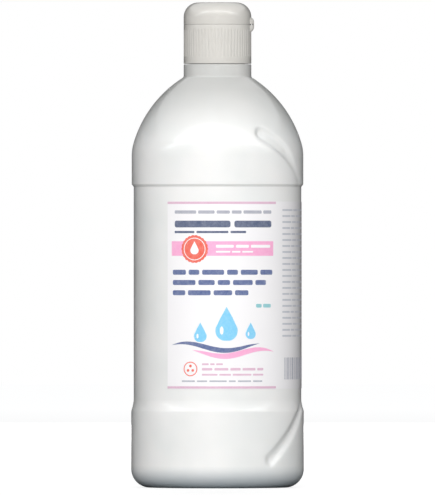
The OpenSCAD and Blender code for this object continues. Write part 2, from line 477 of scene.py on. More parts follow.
def hdpe_material(finish):
    """High-density polyethylene, blow-moulded: waxy white, satin, soft light inside the wall."""
    nodes = new_material("blow_moulded_hdpe")
    axes = nodes.add("SeparateXYZ", {"Vector": nodes.place}).outputs
    # Painted shade: the wall is made darker and greyer towards the neck, for the dimmer light on the
    # upper shoulder and on the empty neck, which lets light through.
    neck = nodes.stretch(axes["Z"], *NECK_SHADE_HEIGHTS)
    # Painted shade: darker and bluer towards the base, where the floor keeps light from the bottom
    # corner.
    foot = nodes.stretch(axes["Z"], BASE_SHADE_TOP, 0.0, 0.0, 0.75)
    body = nodes.mix(neck, tuple(finish.bottle), tuple(finish.neck_painted_shade))
    body = nodes.mix(foot, body, srgb("#8699a6"))
    cloud = nodes.stretch(nodes.noise(26, 2.0), 0.35, 0.65)
    body = nodes.mix(1.0, body, nodes.mix(cloud, srgb("#ffffff"), srgb("#f6f8f8")), "MULTIPLY")
    # The two halves of the mould meet at the sides and leave a fine raised line.
    off_line = nodes.add("Math", {0: axes["Y"]}, operation="ABSOLUTE").outputs[0]
    seam = nodes.bump(nodes.stretch(off_line, 0.05 * MM, 0.28 * MM, 1.0, 0.0), 0.05)
    swell = nodes.bump(nodes.noise(9, 1.0), 0.12, seam)
    pebble = nodes.bump(nodes.noise(0.7, 2.0), 0.012, swell)
    return nodes.plastic({
        "Base Color": body,
        "Roughness": nodes.patches(5, 0.34, 0.42),
        "IOR": 1.54,
        "Coat Normal": swell,
        "Normal": pebble,
        **coat(0.7, 0.15),
        **scatter(0.12, 1.2),
    })


def pp_material(finish):
    """Polypropylene, injection-moulded: warm white, semi-gloss, a fine spark-eroded texture."""
    nodes = new_material("injection_moulded_pp")
    cloud = nodes.patches(7, detail=2.0)
    return nodes.plastic({
        "Base Color": nodes.mix(cloud, tuple(finish.closure), shade(finish.closure, 0.965)),
        "Roughness": nodes.patches(2.5, 0.34, 0.40),
        "IOR": 1.49,
        "Normal": nodes.bump(nodes.noise(0.32, 2.0), 0.010),
        **coat(1.0, 0.2),
        **scatter(0.05, 0.8),
    })


def film_material(finish):
    """White polyethylene label film: bright, smooth, softly glossy, faint ripples from the roll."""
    nodes = new_material("white_label_film")
    cloud = nodes.patches(15, detail=2.0)
    return nodes.plastic({
        "Base Color": nodes.mix(cloud, tuple(finish.film), shade(finish.film, 0.985)),
        "Roughness": nodes.patches(3, 0.30, 0.36),
        "IOR": 1.51,
        "Normal": nodes.bump(nodes.noise(6, 1.0), 0.02),
        **coat(1.0, 0.18),
    })


def ink_material(name, value):
    """Flexographic ink on film: flat colour with a slightly uneven lay and a soft gloss."""
    nodes = new_material(name)
    ink, paper = tuple(value), srgb("#ffffff")
    lay = nodes.stretch(nodes.noise(1.6, 4.0, 0.6), 0.3, 0.7)
    speck = nodes.stretch(nodes.noise(0.35, 2.0), 0.62, 0.8)
    body = nodes.mix(lay, ink, nodes.mix(0.12, ink, paper))
    return nodes.plastic({
        "Base Color": nodes.mix(speck, body, nodes.mix(0.35, ink, paper)),
        "Roughness": nodes.stretch(lay, 0, 1, 0.30, 0.38),
        "IOR": 1.5,
    })


def ldpe_material():
    """Low-density polyethylene, injection-moulded: milky and soft, for the neck plug."""
    nodes = new_material("natural_ldpe")
    cloud = nodes.patches(4, detail=2.0)
    return nodes.plastic({
        "Base Color": nodes.mix(cloud, srgb("#f4f4ee"), srgb("#e9eae4")),
        "Roughness": nodes.stretch(cloud, 0, 1, 0.38, 0.46),
        "IOR": 1.51,
        "Normal": nodes.bump(nodes.noise(0.4, 2.0), 0.008),
        **scatter(0.2, 1.0, (1.0, 1.0, 0.9)),
    })


def resin_material():
    """Silver-bearing resin, extruded: pale blue grey with fine specks of the additive."""
    nodes = new_material("silver_bearing_resin")
    speck = nodes.stretch(nodes.cells(0.9), 0.12, 0.2)
    return nodes.plastic({
        "Base Color": nodes.mix(speck, srgb("#9fb0bd"), srgb("#dde7ed")),
        "Roughness": 0.36,
        "IOR": 1.5,
        "Normal": nodes.bump(nodes.noise(0.5, 2.0), 0.01),
    })


def foam_material():
    """Cross-linked polyethylene foam, die-cut: matt white with closed cells."""
    nodes = new_material("closed_cell_foam")
    cell = nodes.cells(0.35)
    return nodes.plastic({
        "Base Color": nodes.mix(nodes.stretch(cell, 0.1, 0.6), srgb("#ffffff"), srgb("#e8e9e6")),
        "Roughness": 0.7,
        "Normal": nodes.bump(cell, 0.05),
    })


# ---- bottle ----


def on_bottle(degrees, radius, height):
    """A point in millimetres given by its angle from -Y towards +X, radius and height."""
    a = math.radians(degrees)
    return Vector((radius * math.sin(a), -radius * math.cos(a), height)) * MM


class GrooveLine:
    """The arc through three points along which the tool that presses a groove runs."""

    def __init__(self, a, b, c):
        ab, ac = b - a, c - a
        n = ab.cross(ac)
        offset = n.cross(ab) * ac.length_squared + ac.cross(n) * ab.length_squared
        self.centre = a + offset / (2 * n.length_squared)
        self.radius = (a - self.centre).length
        self.ex = (a - self.centre) / self.radius
        self.ey = n.normalized().cross(self.ex)
        end = c - self.centre
        self.sweep = math.atan2(end.dot(self.ey), end.dot(self.ex))
        self.middle = (a + c) / 2
        # Nothing farther from the middle than this feels the groove.
        self.extent = (a - c).length / 2 + 12 * MM

    def distance(self, point):
        d = point - self.centre
        angle = math.atan2(d.dot(self.ey), d.dot(self.ex))
        angle = min(max(angle, 0.0), self.sweep)
        nearest = (self.ex * math.cos(angle) + self.ey * math.sin(angle)) * self.radius
        return (d - nearest).length


def groove_lines(s):
    """The two diagonal grooves on the right of the front, and the same pair on the far side."""
    tool_r = (s.groove_d**2 + s.groove_w**2 / 4) / (2 * s.groove_d)
    lift = (tool_r - s.groove_d) / MM
    clear = tool_r / MM + 0.3
    low, band, panel = s.low_r / MM, s.band_r / MM, s.panel_r / MM
    # Start, middle and end of each: angle from the front, distance from the axis, height
    upper = [(28.5, 35.6, 143.3), (51, band + lift, 133.3), (72, panel + clear, 118)]
    lower = [(33.3, low + lift, 11.5), (56, low + lift, 23.5), (80, panel + clear, 38)]
    lines = [
        GrooveLine(*(on_bottle(angle + turn, radius, height) for angle, radius, height in points))
        for points in (upper, lower)
        for turn in (0, 180)
    ]
    return lines, tool_r


def press_grooves(piece, s):
    """Presses the finger grooves into the outer wall, and into the inner wall behind them."""
    lines, tool_r = groove_lines(s)
    limit = 1.15 * s.groove_d
    least = 0.002 * MM
    outside = piece.vertex_groups.new(name="groove_outside")
    inside = piece.vertex_groups.new(name="groove_inside")
    for vertex in piece.data.vertices:
        p = vertex.co
        near = [run for run in lines if (p - run.middle).length < run.extent]
        if not near or math.hypot(p.x, p.y) < s.bore_r:
            continue
        inner = vertex.normal.dot(Vector((p.x, p.y, 0))) < 0
        reach = max(tool_r + s.wall * inner - run.distance(p) for run in near)
        depth = (reach + math.hypot(reach, s.groove_soft)) / 2
        if depth > least:
            group = inside if inner else outside
            group.add([vertex.index], min(depth / limit, 1.0), "REPLACE")
    for group, strength in ((outside, -limit), (inside, limit)):
        modifier = piece.modifiers.new(group.name, "DISPLACE")
        modifier.vertex_group = group.name
        modifier.mid_level = 0
        modifier.strength = strength
    apply_modifiers(piece)
    piece.vertex_groups.clear()


def shoulder_arc(s, inset, start, end, steps):
    return arc(s.shoulder_x, s.shoulder_z, s.shoulder_r - inset, start, end, steps)


def wall_line(s, inset, meet, rows):
    """The side wall at an inset from the outside, from the bottom corner up to an angle on the
    shoulder. rows are its steps along the bottom band, the lower and the upper end of the panel,
    the upper band and the two parts of the shoulder. They are fine where the grooves run."""
    low, panel, band = (radius - inset for radius in (s.low_r, s.panel_r, s.band_r))
    foot = arc(s.low_r - s.corner_r, s.corner_r, s.corner_r - inset, -90, 0, 16)
    # Flare: a rounded lip, and a cove that runs up into the panel
    tilt, toe = s.flare_tilt, s.flare_toe
    lip_drop = s.lip_r * (1 - math.cos(tilt))
    cove_r = (s.low_r - s.panel_r - lip_drop) / (math.cos(toe) - math.cos(tilt)) + inset
    lip_r = s.lip_r - inset
    lip = arc(low - lip_r, s.low_top, lip_r, 0, math.degrees(tilt), 6)
    cove_x = lip[-1][0] + cove_r * math.cos(tilt)
    cove_z = lip[-1][1] + cove_r * math.sin(tilt)
    cove = arc(cove_x, cove_z, cove_r, 180 + math.degrees(tilt), 180 + math.degrees(toe), 14)
    # Panel: plain in its middle, where no groove reaches
    run = 1.5 * MM
    levels = (cove[-1][1], s.low_top + 12 * MM, s.panel_top - 6.5 * MM, s.panel_top - run)
    upright = []
    for bottom, top, steps in zip(levels, levels[1:], (rows[1], 4, rows[2])):
        upright += line((panel, bottom), (panel, top), steps)[:-1]
    step = rounded([(panel, s.panel_top - run), (panel, s.panel_top),
                    (band, s.band_bot), (band, s.band_bot + run)], s.soft_edge, 5)
    # The bend touches both the upright band and the arc of the shoulder.
    bend_x = s.band_r - s.bend_r
    bend_z = s.shoulder_z + math.sqrt((s.shoulder_r - s.bend_r) ** 2 - (bend_x - s.shoulder_x) ** 2)
    start = math.degrees(math.atan2(bend_z - s.shoulder_z, bend_x - s.shoulder_x))
    groove_end = start + 18
    return (
        foot[:-1]
        + line((low, s.corner_r), (low, s.low_top), rows[0])[:-1]
        + lip[:-1]
        + cove[:-1]
        + upright
        + step[:-1]
        + line((band, s.band_bot + run), (band, bend_z), rows[3])[:-1]
        + arc(bend_x, bend_z, s.bend_r - inset, 0, start, 8)[:-1]
        + shoulder_arc(s, inset, start, groove_end, rows[4])[:-1]
        + shoulder_arc(s, inset, groove_end, meet, rows[5])
    )


def bottle_section(s):
    """Half section of the bottle, up its outside from the push-up and back down its inside."""
    ball = (s.push_up_r**2 + s.push_up_h**2) / (2 * s.push_up_h)
    ball_z = s.push_up_h - ball
    push_up = arc(0, ball_z, ball, 90, 90 - math.degrees(math.asin(s.push_up_r / ball)), 14)
    # The collar's foot is filleted into the shoulder.
    fillet = 1.0 * MM
    fillet_x = s.collar_r + fillet
    fillet_z = s.shoulder_z + math.sqrt((s.shoulder_r + fillet) ** 2 - (fillet_x - s.shoulder_x) ** 2)
    meet = math.degrees(math.atan2(fillet_z - s.shoulder_z, fillet_x - s.shoulder_x))
    collar = arc(fillet_x, fillet_z, fillet, meet + 180, 180, 5)
    bore_bot = s.collar_top - 4 * MM
    neck = rounded([collar[-1], (s.collar_r, s.collar_top), (s.land_r, s.collar_top),
                    (s.land_r, s.land_top), (s.neck_r, s.land_top), (s.neck_r, s.neck_top),
                    (s.bore_r, s.neck_top), (s.bore_r, bore_bot)], 0.4 * MM, 4)
    inner_end = math.degrees(math.acos((s.bore_r - s.shoulder_x) / (s.shoulder_r - s.wall)))
    inside_top = shoulder_arc(s, s.wall, inner_end, meet, 6)[:-1]
    outside = wall_line(s, 0, meet, (46, 15, 10, 26, 30, 22))
    inside = wall_line(s, s.wall, meet, (23, 8, 5, 13, 15, 11))
    floor_ball = ball + s.floor_t
    floor_r = (s.low_r - s.corner_r) * 0.94
    floor = arc(0, ball_z, floor_ball, 90 - math.degrees(math.asin(floor_r / floor_ball)), 90, 12)
    return push_up + outside + collar[1:] + neck[1:] + inside_top + inside[::-1] + floor


def thread(name, radius, height, pitch, turns, bottom, outwards):
    """A screw thread: a small triangular section wound round the axis, with tapered ends."""
    half_foot = pitch * 0.28
    half_crest = half_foot * 0.25
    sign = 1 if outwards else -1
    root = radius - sign * 0.25 * MM
    crest = radius + sign * height
    section = [(root, bottom - half_foot), (crest, bottom - half_crest),
               (crest, bottom + half_crest), (root, bottom + half_foot)]
    piece = trace(name, section, closed=True)
    close()
    modifier = piece.modifiers.new("Screw", "SCREW")
    modifier.screw_offset = pitch * turns
    modifier.angle = TAU * turns
    modifier.steps = modifier.render_steps = int(48 * turns)
    modifier.use_merge_vertices = True
    apply_modifiers(piece)
    edit(piece)
    bpy.ops.mesh.select_all(action="DESELECT")
    bpy.ops.mesh.select_non_manifold()
    bpy.ops.mesh.edge_face_add()
    close()
    tidy_mesh(piece)
    # The last seventh of a turn at each end sinks into the wall.
    run_out = 0.14
    for vertex in piece.data.vertices:
        along = (vertex.co.z - bottom) / (pitch * turns)
        ease = min(1.0, max(0.0, min(along, 1 - along)) * turns / run_out)
        r = math.hypot(vertex.co.x, vertex.co.y)
        sunk = root + (r - root) * ease
        vertex.co.x *= sunk / r
        vertex.co.y *= sunk / r
    return piece


class BOTTLE_OT_body(bpy.types.Operator):
    """Build the blow-moulded bottle with its finger grooves and neck thread"""

    bl_idname = "bottle.body"
    bl_label = "Bottle"

    def execute(self, context):
        s = context.scene.bottle_sizes
        # The two sides with grooves get finer steps than the rest.
        fine, coarse = (math.radians(69), 86), (math.radians(111), 37)
        piece = lathe("bottle_shell", bottle_section(s), (fine, coarse, fine, coarse))
        press_grooves(piece, s)
        ridge = thread("neck_thread", s.neck_r, s.thread_h, s.thread_pitch, turns=2.2,
                       bottom=174.2 * MM, outwards=True)
        piece = join("bottle_shell", [piece, ridge])
        smooth(piece, 40)
        material = hdpe_material(context.scene.finishes)
        finish_piece(piece, "bottle_body", "bottle_hdpe", material, "bottle")
        return {"FINISHED"}


# ---- closure ----


def hinge_lug(name, c, low, high):
    """Slice of the hinge's swelling between two heights, rooted in the closure's wall."""
    swell_r = (c.hinge_half**2 + c.hinge_out**2) / (2 * c.hinge_out)
    middle_x = c.cap_r + c.hinge_out - swell_r
    reach = HINGE[0] - 0.05 * MM
    root = c.cap_r - 1.05 * MM
    start, end = (math.degrees(math.asin((z - HINGE[2]) / swell_r)) for z in (low, high))
    swell = [(min(x, reach), z) for x, z in arc(middle_x, HINGE[2], swell_r, start, end, 12)]
    lug = trace(name, [(root, low), *swell, (root, high)], closed=True)
    bpy.ops.mesh.edge_face_add()
    # Its two ends run down into the round wall of the closure, to this share of the full height.
    thinnest = 0.03
    steps = 28
    step = c.hinge_len / steps
    straight = c.film_len / c.hinge_len
    shares = []
    for i in range(steps + 1):
        past = max(0.0, abs(2 * i / steps - 1) - straight) / (1 - straight)
        shares.append(thinnest + (1 - thinnest) * math.cos(past * math.pi / 2))
    bpy.ops.transform.translate(value=(0, -c.hinge_len / 2, 0))
    bpy.ops.transform.resize(value=(shares[0], 1, 1), center_override=(root, 0, 0))
    for before, share in zip(shares, shares[1:]):
        bpy.ops.mesh.extrude_region_move(TRANSFORM_OT_translate={"value": (0, step, 0)})
        bpy.ops.transform.resize(value=(share / before, 1, 1), center_override=(root, 0, 0))
    close()
    tidy_mesh(lug)
    return lug


def base_section(c):
    """Closed half section of the closure: skirt, deck, the ring that centres the lid, and nozzle."""
    rim = c.lid_bot - 0.07 * MM
    deck = rim + 0.4 * MM
    ring_r = 12.3 * MM
    ring_w = 1.0 * MM
    ring_top = rim + 1.0 * MM
    chamfer = 0.3 * MM
    return [
        (c.skirt_in, c.ring_top), (c.skirt_in, c.skirt_bot), (c.cap_r, c.skirt_bot), (c.cap_r, rim),
        (ring_r, rim), (ring_r, ring_top), (ring_r - ring_w, ring_top),
        (ring_r - ring_w - chamfer, deck), (c.nozzle_r + 0.5 * MM, deck),
        (c.nozzle_r - 0.1 * MM, deck + 0.8 * MM), (c.nozzle_r - 0.4 * MM, c.nozzle_top - 0.4 * MM),
        (c.nozzle_r - 0.8 * MM, c.nozzle_top), (c.orifice_r + chamfer, c.nozzle_top),
        (c.orifice_r, c.nozzle_top - chamfer), (c.orifice_r, c.ring_top + 0.6 * MM),
        (c.orifice_r + 1.2 * MM, c.ring_top), (c.skirt_in, c.ring_top),
    ]


def flute_tool(c):
    """The tool that cuts all the grip flutes: a ring of round-ended rods."""
    deselect()
    bpy.ops.mesh.primitive_cylinder_add(
        vertices=24, radius=c.flute_r, depth=c.flute_top - c.flute_bot,
        location=(c.cap_r + c.flute_r - c.flute_d, 0, (c.flute_top + c.flute_bot) / 2),
    )
    rod = settle(added("flute"))
    round_edges(rod, c.flute_r * 0.8, 4, 60)
    rods = []
    for i in range(c.flute_n):
        copy = rod.copy()
        copy.data = rod.data.copy()
        bpy.context.collection.objects.link(copy)
        copy.rotation_euler.z = TAU * (i + 0.5) / c.flute_n
        rods.append(copy)
    bpy.data.objects.remove(rod)
    return settle(join("flutes", rods))


class BOTTLE_OT_closure_base(bpy.types.Operator):
    """Build the screw closure: fluted skirt, deck, pouring nozzle, thread and lower hinge lug"""

    bl_idname = "bottle.closure_base"
    bl_label = "Closure base"

    def execute(self, context):
        c = context.scene.closure_sizes
        pitch = context.scene.bottle_sizes.thread_pitch
        section = rounded(base_section(c), c.edge, 3)
        piece = lathe("closure_base_shell", section, ((TAU, 240),), closed=True)
        cut(piece, flute_tool(c))
        cut(piece, hinge_lug("lower_lug", c, HINGE[2] - c.hinge_half, HINGE[2] - GAP_UNDER), "UNION")
        inner = thread("skirt_thread", c.skirt_in, 1.0 * MM, pitch, turns=2.0, bottom=173.4 * MM,
                       outwards=False)
        piece = join("closure_base_shell", [piece, inner])
        smooth(piece, 30)
        material = pp_material(context.scene.finishes)
        finish_piece(piece, "closure_body", "closure_pp", material, "closure_base")
        return {"FINISHED"}


class BOTTLE_OT_closure_lid(bpy.types.Operator):
    """Build the flip-top lid with its sealing pin and upper hinge lug"""

    bl_idname = "bottle.closure_lid"
    bl_label = "Closure lid"

    def execute(self, context):
        c = context.scene.closure_sizes
        round_z = c.lid_top - c.lid_round
        round_x = c.cap_r - c.lid_round
        straight_top = round_z - 0.5 * MM
        inside = c.cap_r - c.lid_wall
        roof = c.lid_top - c.lid_wall
        # The sealing pin enters the orifice with a little room.
        pin_r = c.orifice_r - 0.15 * MM
        tip = c.nozzle_top - 1.6 * MM
        section = (
            [(0, c.lid_top)]
            + arc(round_x, round_z, c.lid_round, 90, 0, 14)
            + rounded([(c.cap_r, straight_top), (c.cap_r, c.lid_bot), (inside, c.lid_bot),
                       (inside, straight_top)], c.edge, 3)
            + arc(round_x, round_z, c.lid_round - c.lid_wall, 0, 90, 10)
            + rounded([(pin_r + 1.0 * MM, roof), (pin_r, roof - 1.2 * MM), (pin_r, tip + 1.0 * MM),
                       (pin_r - 0.5 * MM, tip), (0, tip)], 0.3 * MM, 3)
        )
        piece = lathe("closure_lid_shell", section, ((TAU, 240),))
        cut(piece, hinge_lug("upper_lug", c, HINGE[2] + GAP_OVER, HINGE[2] + c.hinge_half), "UNION")
        smooth(piece, 30)
        material = bpy.data.materials["injection_moulded_pp"]
        finish_piece(piece, "lid_body", "closure_pp", material, "closure_lid")
        return {"FINISHED"}


class BOTTLE_OT_living_hinge(bpy.types.Operator):
    """Build the thin film on which the lid bends"""

    bl_idname = "bottle.living_hinge"
    bl_label = "Living hinge"

    def execute(self, context):
        c = context.scene.closure_sizes
        deselect()
        bpy.ops.mesh.primitive_cube_add(size=1, location=(HINGE[0] - c.film_t * 0.45, 0, HINGE[2]))
        piece = added("living_hinge_film")
        height, bend_half, short_by = 1.1 * MM, 0.3 * MM, 0.2 * MM
        piece.scale = (c.film_t, c.film_len - short_by, height)
        settle(piece)
        edit(piece)
        bpy.ops.mesh.subdivide(number_cuts=12)
        close()
        round_edges(piece, 0.06 * MM, 2, 30)
        smooth(piece, 30)
        paint(piece, bpy.data.materials["injection_moulded_pp"])
        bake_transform(piece)
        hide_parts("living_hinge")
        return {"FINISHED"}


class BOTTLE_OT_inner_pieces(bpy.types.Operator):
    """Give the neck plug, the stick and the sealing ring their materials"""

    bl_idname = "bottle.inner_pieces"
    bl_label = "Inner pieces"

    def execute(self, context):
        materials = {
            "neck_plug": ldpe_material(),
            "antibacterial_stick": resin_material(),
            "sealing_ring": foam_material(),
        }
        for name, material in materials.items():
            paint(frame["nodes"][name], material)
        return {"FINISHED"}


# ---- label ----


# The print is drawn flat, in millimetres. Sideways measures run round the label from the middle of
# its front. Heights are above the ground.

# Plain bars: ink, middle, height, width, thickness
BARS = (
    ("rose", -0.45, 114.4, 47.2, 0.9),
    ("rose", -0.45, 40.5, 47.2, 0.9),
    ("pink", -0.15, 96.1, 43.7, 5.8),
    ("rose", 97.0, 112.0, 50.0, 0.5),
)
# Lines of copy: ink, left end, right end, height, thickness, lengths of the words, gap between them
COPY = (
    ("grey", -20.6, 20.7, 110.7, 1.3, (7, 5, 4, 3, 6, 3), 0.8),
    ("slate", -20.6, 20.7, 105.9, 2.7, (7, 5), 1.6),
    ("slate", -20.6, 9.0, 102.7, 0.9, (4, 6, 3), 0.9),
    ("film", -3.3, 20.1, 97.0, 1.2, (4, 3, 5), 0.9),
    ("film", -3.3, 12.0, 94.8, 0.7, (5, 3, 4), 0.7),
    ("navy", -21.5, 21.2, 86.6, 2.0, (4, 3, 6, 3, 5, 4), 1.2),
    ("navy", -21.5, 18.0, 82.5, 2.0, (6, 4, 3, 5, 3), 1.2),
    ("navy", -21.5, 10.0, 78.4, 2.0, (3, 5, 4, 3), 1.2),
    ("teal", 13.4, 20.4, 73.2, 1.5, (2, 3), 0.7),
    ("rose", -8.9, -0.5, 49.8, 0.7, (3, 2, 3), 0.6),
    ("rose", -8.9, 16.7, 47.8, 1.0, (3, 4, 3, 4, 2), 0.8),
    ("rose", -8.9, 16.7, 45.6, 0.7, (4, 3, 5, 3), 0.7),
    ("grey", -17.4, 16.2, 43.0, 0.6, (4, 3, 5, 2, 4, 3), 0.9),
)
# Drops: middle, height, width, length
DROPS = ((1.0, 66.0, 9.0, 13.6), (-9.6, 62.6, 5.2, 7.8), (11.0, 63.2, 4.4, 6.6))
# Headed blocks at the back: height of the heading, number of lines under it
BLOCKS = ((108.4, 6), (91.0, 9), (66.4, 7))
# Widths of the upright stripes
STRIPES = (0.5, 0.3, 0.9, 0.3, 0.6, 1.0, 0.3, 0.5, 0.3, 0.9, 0.6, 0.3, 0.5, 1.0, 0.3, 0.5, 0.9, 0.3,
           0.6, 0.3)
INKS = ("rose", "grey", "slate", "pink", "film", "red", "navy", "sky", "teal", "mist")
# How many layers of ink lie under an ink, and under the inks that aren't named here
UNDER = {"film": 2.5, "red": 1.5}
UNDER_OTHERS = 0.5


def wrap(piece, column, radius, thickness):
    """Bends a flat piece, drawn in XY with Y upwards, round the bottle and makes it solid."""
    low = min(v.co.x for v in piece.data.vertices)
    high = max(v.co.x for v in piece.data.vertices)
    edit(piece)
    for i in range(math.ceil(low / column), math.floor(high / column) + 1):
        x = i * column
        if low + MERGE < x < high - MERGE:
            bpy.ops.mesh.select_all(action="SELECT")
            bpy.ops.mesh.bisect(plane_co=(x, 0, 0), plane_no=(1, 0, 0))
    close()
    piece.rotation_euler.x = math.pi / 2
    settle(piece)
    bend = piece.modifiers.new("Bend", "SIMPLE_DEFORM")
    bend.deform_method = "BEND"
    bend.deform_axis = "Z"
    bend.angle = (high - low) / radius
    solid = piece.modifiers.new("Thickness", "SOLIDIFY")
    solid.thickness = thickness
    solid.offset = 1
    apply_modifiers(piece)
    piece.location.y = -radius
    settle(piece)
    smooth(piece, 30)


def blank(name):
    """An empty piece that others are joined to, so that the inks come in an order of their own."""
    piece = bpy.data.objects.new(name, bpy.data.meshes.new(name))
    bpy.context.collection.objects.link(piece)
    return piece


def bar(x, y, width, height, round_end=0.0):
    """A flat bar of ink, its middle at x, y."""
    deselect()
    bpy.ops.mesh.primitive_plane_add(size=1, location=(x * MM, y * MM, 0))
    piece = added("bar")
    piece.scale = (width * MM, height * MM, 1)
    settle(piece)
    if round_end:
        edit(piece)
        bpy.ops.mesh.bevel(offset=round_end * MM, segments=4, affect="VERTICES")
        close()
    return piece


def disc(x, y, radius, vertices):
    deselect()
    bpy.ops.mesh.primitive_circle_add(
        vertices=vertices, radius=radius * MM, fill_type="NGON", location=(x * MM, y * MM, 0)
    )
    return settle(added("disc"))


def oval(x, y, half_width, half_height):
    piece = disc(0, 0, 1, 24)
    piece.scale = (half_width, half_height, 1)
    piece.location = (x * MM, y * MM, 0)
    return settle(piece)


def ring(x, y, radius, line_w):
    piece = disc(x, y, radius, 64)
    edit(piece)
    bpy.ops.mesh.inset(thickness=line_w * MM)
    bpy.ops.mesh.delete(type="FACE")
    close()
    return piece


def seal(x, y, radius, scallops):
    """A round seal with a scalloped edge."""
    depth = 0.045
    piece = disc(0, 0, radius, scallops * 8)
    for vertex in piece.data.vertices:
        angle = math.atan2(vertex.co.y, vertex.co.x)
        vertex.co *= 1 - depth * (1 - abs(math.cos(angle * scallops / 2)))
    piece.location = (x * MM, y * MM, 0)
    return settle(piece)


def outline(name, knots):
    """A flat closed shape drawn as a Bezier curve. A knot is x, y and whether it is a sharp point."""
    deselect()
    bpy.ops.curve.primitive_bezier_circle_add(radius=MM)
    piece = added(name)
    curve = piece.data
    curve.dimensions = "2D"
    curve.fill_mode = "BOTH"
    curve.resolution_u = 12
    spline = curve.splines[0]
    spline.bezier_points.add(len(knots) - len(spline.bezier_points))
    for point, (x, y, sharp) in zip(spline.bezier_points, knots, strict=True):
        point.co = (x * MM, y * MM, 0)
        point.handle_left_type = point.handle_right_type = "VECTOR" if sharp else "AUTO"
    bpy.ops.object.convert(target="MESH")
    piece = bpy.context.object
    edit(piece)
    bpy.ops.mesh.remove_doubles(threshold=MERGE)
    bpy.ops.mesh.dissolve_limited(angle_limit=math.radians(0.5))
    bpy.ops.mesh.quads_convert_to_tris()
    close()
    up = sum(p.normal.z * p.area for p in piece.data.polygons)
    if up < 0:
        edit(piece)
        bpy.ops.mesh.flip_normals()
        close()
    return piece


def drop(x, y, width, height):
    """A water drop, its middle at x, y."""
    side = ((0.78, 0.02), (1, -0.42), (0.62, -0.9))
    shape = [(0, 1), *((-a, b) for a, b in side), (0, -1), *reversed(side)]
    return outline("drop", [(x + a * width / 2, y + b * height / 2, b == 1) for a, b in shape])


def ribbon(x0, x1, y, swing, thick, phase):
    """A wave that is thickest in its middle and runs out to a point at both ends."""
    count = 9
    upper, lower = [], []
    for i in range(count):
        t = i / (count - 1)
        x = x0 + (x1 - x0) * t
        centre = y + swing * math.sin(TAU * t * 1.1 + phase)
        half = thick / 2 * math.sin(math.pi * t) ** 0.8
        upper.append((x, centre + half, i in (0, count - 1)))
        lower.append((x, centre - half, False))
    return outline("ribbon", upper + lower[-2:0:-1])


def spread(x, y, widths, gap, height, round_end=0.0):
    """Bars side by side from x on, of given widths and with even gaps."""
    pieces = []
    for width in widths:
        pieces.append(bar(x + width / 2, y, width, height, round_end))
        x += width + gap
    return pieces


def words(x0, x1, y, height, pattern, gap):
    """A line of copy shown as plain bars, one for each word; the pattern gives relative lengths."""
    unit = ((x1 - x0) - gap * (len(pattern) - 1)) / sum(pattern)
    return spread(x0, y, [unit * share for share in pattern], gap, height, height * 0.3)


def artwork():
    """The print, as lists of flat shapes for each ink."""
    inks = {name: [blank(name)] for name in INKS}
    for ink, x, height, width, thickness in BARS:
        inks[ink].append(bar(x, height, width, thickness))
    for ink, x0, x1, height, thickness, pattern, gap in COPY:
        inks[ink] += words(x0, x1, height, thickness, pattern, gap)

    # Scalloped seal with a drop
    x, y = -12.0, 95.9
    inks["red"].append(seal(x, y, 5.6, 22))
    inks["film"].append(ring(x, y, 4.5, 0.28))
    inks["film"].append(drop(x, y + 0.5, 3.4, 5.2))

    # Drops with a glint over two waves
    for x, height, w, h in DROPS:
        inks["sky"].append(drop(x, height, w, h))
        inks["film"].append(oval(x - w * 0.22, height - h * 0.2, w * 0.08, h * 0.12))
    inks["navy"].append(ribbon(-22.0, 15.0, 56.8, 1.5, 2.0, 0.5))
    inks["pink"].append(ribbon(-13.0, 22.0, 54.4, 1.4, 2.3, 2.2))

    # Ring with three dots
    x, y = -13.7, 47.9
    inks["red"].append(ring(x, y, 2.9, 0.38))
    for i in range(3):
        turn = TAU * (i / 3 + 0.25)
        inks["red"].append(disc(x + 1.15 * math.cos(turn), y + 1.15 * math.sin(turn), 0.55, 20))

    # Small print of ragged lines: a panel at the side with stripes under it, and blocks at the back
    small, small_gap = 0.75, 0.7
    for row in range(22):
        pattern = (5, 3, 6, 4, 5 + row % 3)
        right = 64.0 - (row * 7) % 11
        inks["mist"] += words(27.0, right, 111.5 - row * 2.4, small, pattern, small_gap)
    for block, (top, rows) in enumerate(BLOCKS):
        inks["navy"] += words(72.0, 94.0 - 4 * block, top, 1.1, (4, 3 + block), 0.8)
        for row in range(rows):
            pattern = (4, 6, 3 + row % 2, 5, 4, 3 + block)
            right = 122.0 - (row * 5) % 9
            inks["mist"] += words(72.0, right, top - 2.4 - row * 2.2, small, pattern, small_gap)
    left, right, bottom, top = 28.4, 50.0, 43.6, 52.4
    gap = ((right - left) - sum(STRIPES)) / (len(STRIPES) - 1)
    inks["grey"] += spread(left, (bottom + top) / 2, STRIPES, gap, top - bottom)
    return inks


class BOTTLE_OT_label(bpy.types.Operator):
    """Build the film label and its printed layers"""

    bl_idname = "bottle.label"
    bl_label = "Wrap label"

    def execute(self, context):
        label = context.scene.label_sizes
        finish = context.scene.finishes
        panel_r = label.radius - label.film_t
        span = (TAU - label.gap) * panel_r
        start = -label.left * panel_r
        deselect()
        middle = (label.low + label.high) / 2
        bpy.ops.mesh.primitive_plane_add(size=1, location=(start + span / 2, middle, 0))
        film = added("label_film")
        film.scale = (span, label.high - label.low, 1)
        settle(film)
        edit(film)
        bpy.ops.mesh.bevel(offset=label.corner, segments=6, affect="VERTICES")
        close()
        wrap(film, label.column, panel_r, label.film_t)
        finish_piece(film, "bottle_body", "label_film", film_material(finish), "wrap_label")
        for name, shapes in artwork().items():
            printed = join(f"print_{name}", shapes)
            height = label.radius + UNDER.get(name, UNDER_OTHERS) * label.ink_t
            wrap(printed, label.column, height, label.ink_t)
            material = ink_material(f"ink_{name}", getattr(finish, name))
            finish_piece(printed, "bottle_body", "label_film", material)
        return {"FINISHED"}


# ---- studio ----


# Directions as the camera sees them, a little left of the label's middle
TURN = math.radians(-4.5)
AHEAD = Vector((math.sin(TURN), -math.cos(TURN), 0))
SIDE = Vector((math.cos(TURN), math.sin(TURN), 0))
UP = Vector((0, 0, 1))
AIM = Vector((0, 0, 0.09))
